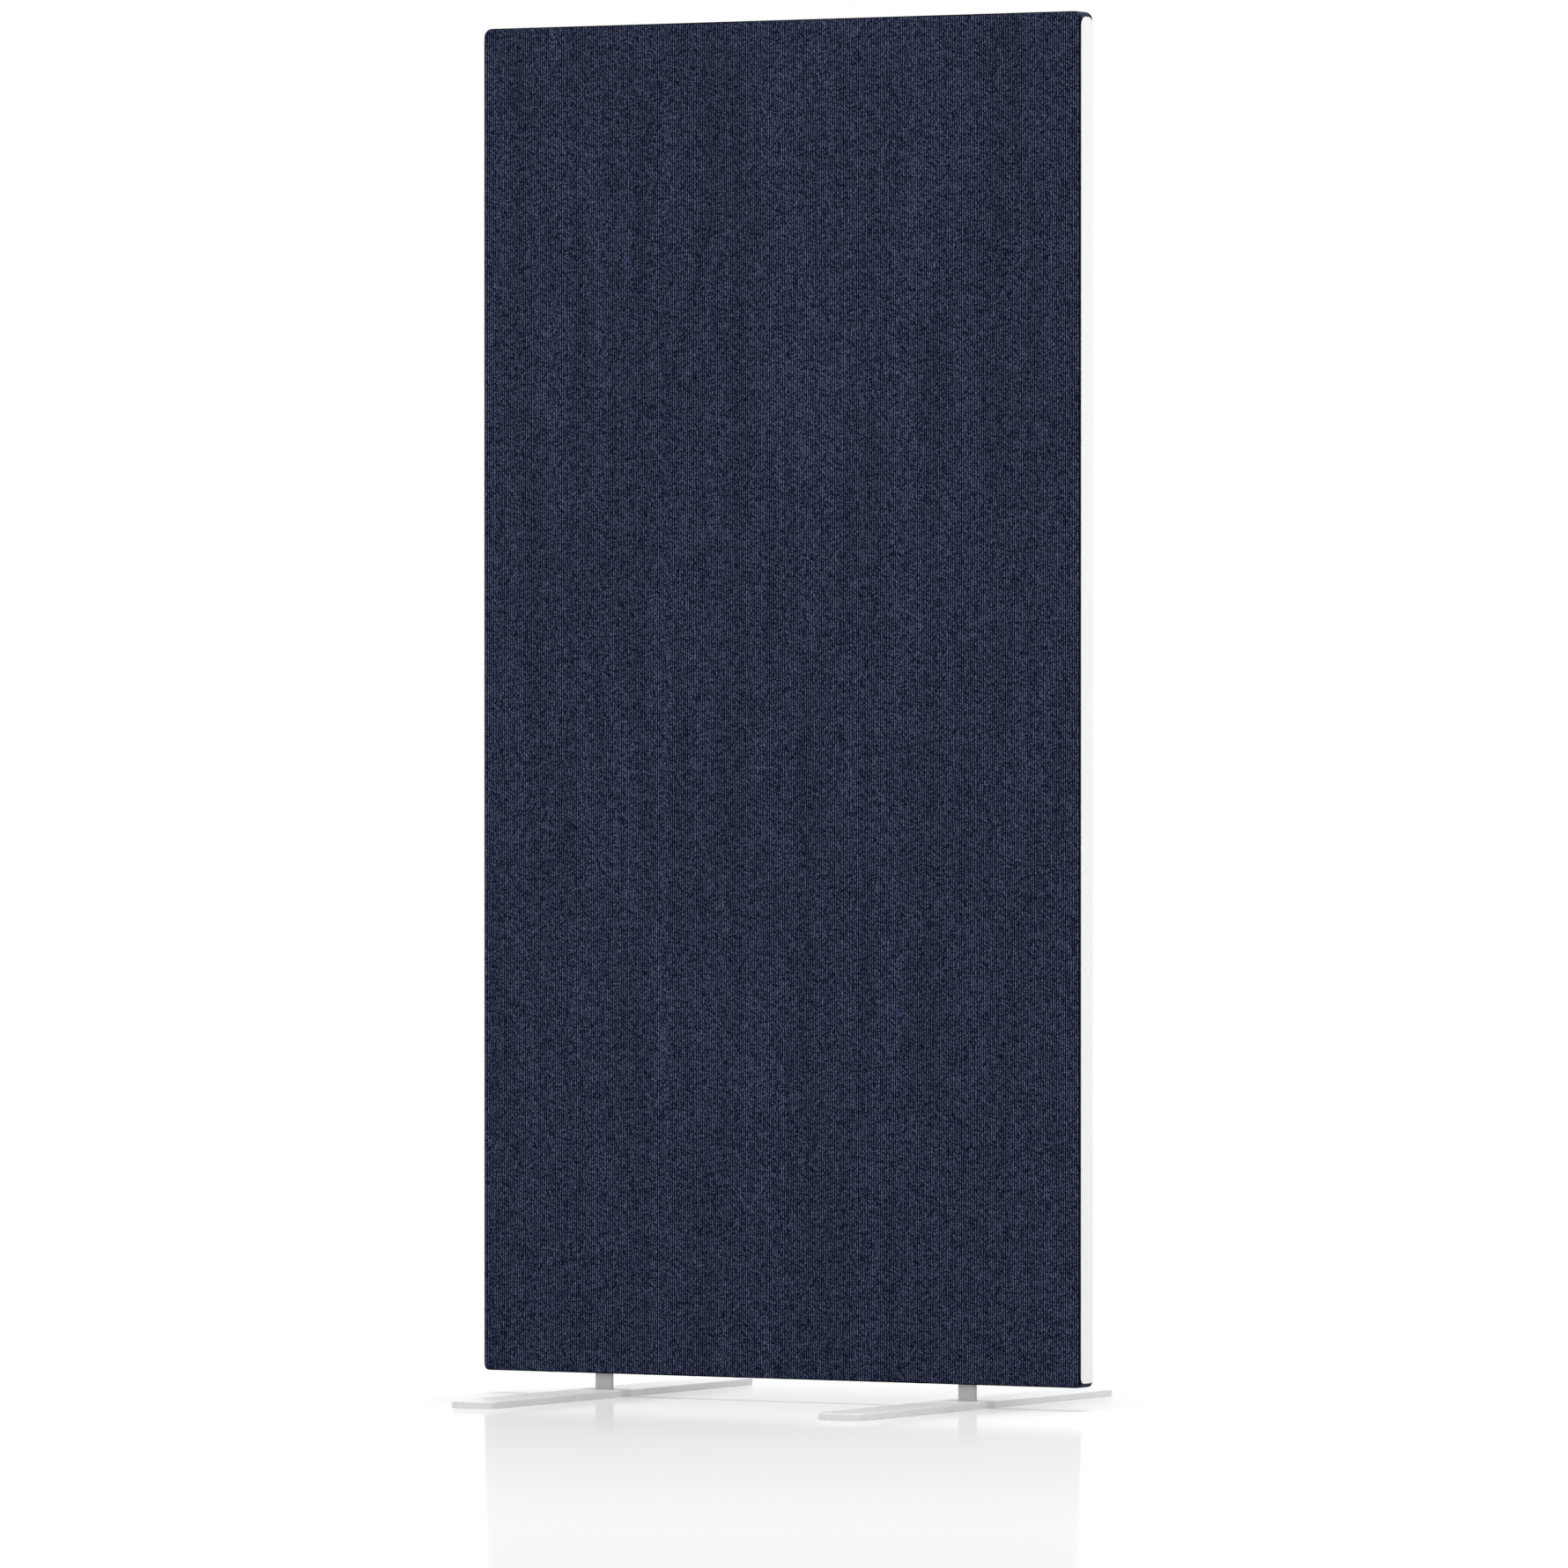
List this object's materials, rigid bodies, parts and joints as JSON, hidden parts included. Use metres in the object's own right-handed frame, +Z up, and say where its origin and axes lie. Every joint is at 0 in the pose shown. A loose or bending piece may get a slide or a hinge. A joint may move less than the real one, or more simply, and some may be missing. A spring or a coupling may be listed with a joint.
{
  "type": "acoustic divider screen",
  "caption": "Free-standing acoustic screen: a tall, thin cloth-covered panel with rounded corners and white edge strips, standing on long flat steel feet.",
  "frame": {"origin": "on the floor, under the middle of the panel", "axes": "+X along the panel's width, +Y from its front to its rear, +Z up"},
  "size_m": [0.8, 0.61, 1.6],
  "materials": {
    "navy_cloth": "matte",
    "facing_foam": "matte",
    "absorber_felt": "matte",
    "frame_timber": "matte",
    "dowel_beech": "matte",
    "strip_white": "satin",
    "zinc_steel": "satin",
    "foot_lacquer": "satin",
    "pad_rubber": "matte"
  },
  "bodies": {
    "root": {"cover": "navy_cloth", "cover_staples": "zinc_steel", "facing_front": "facing_foam", "facing_rear": "facing_foam", "absorber_upper": "absorber_felt", "absorber_lower": "absorber_felt", "stile_left": "frame_timber", "stile_right": "frame_timber", "rail_top": "frame_timber", "rail_middle": "frame_timber", "rail_bottom": "frame_timber", "frame_dowels": "dowel_beech", "edge_strip_left": "strip_white", "edge_strip_right": "strip_white", "socket_left": "zinc_steel", "socket_right": "zinc_steel", "socket_screws": "zinc_steel", "upright_left": "foot_lacquer", "upright_right": "foot_lacquer", "foot_plate_left": "foot_lacquer", "foot_plate_right": "foot_lacquer", "foot_pad_left": "pad_rubber", "foot_pad_right": "pad_rubber"}
  },
  "joints": []
}
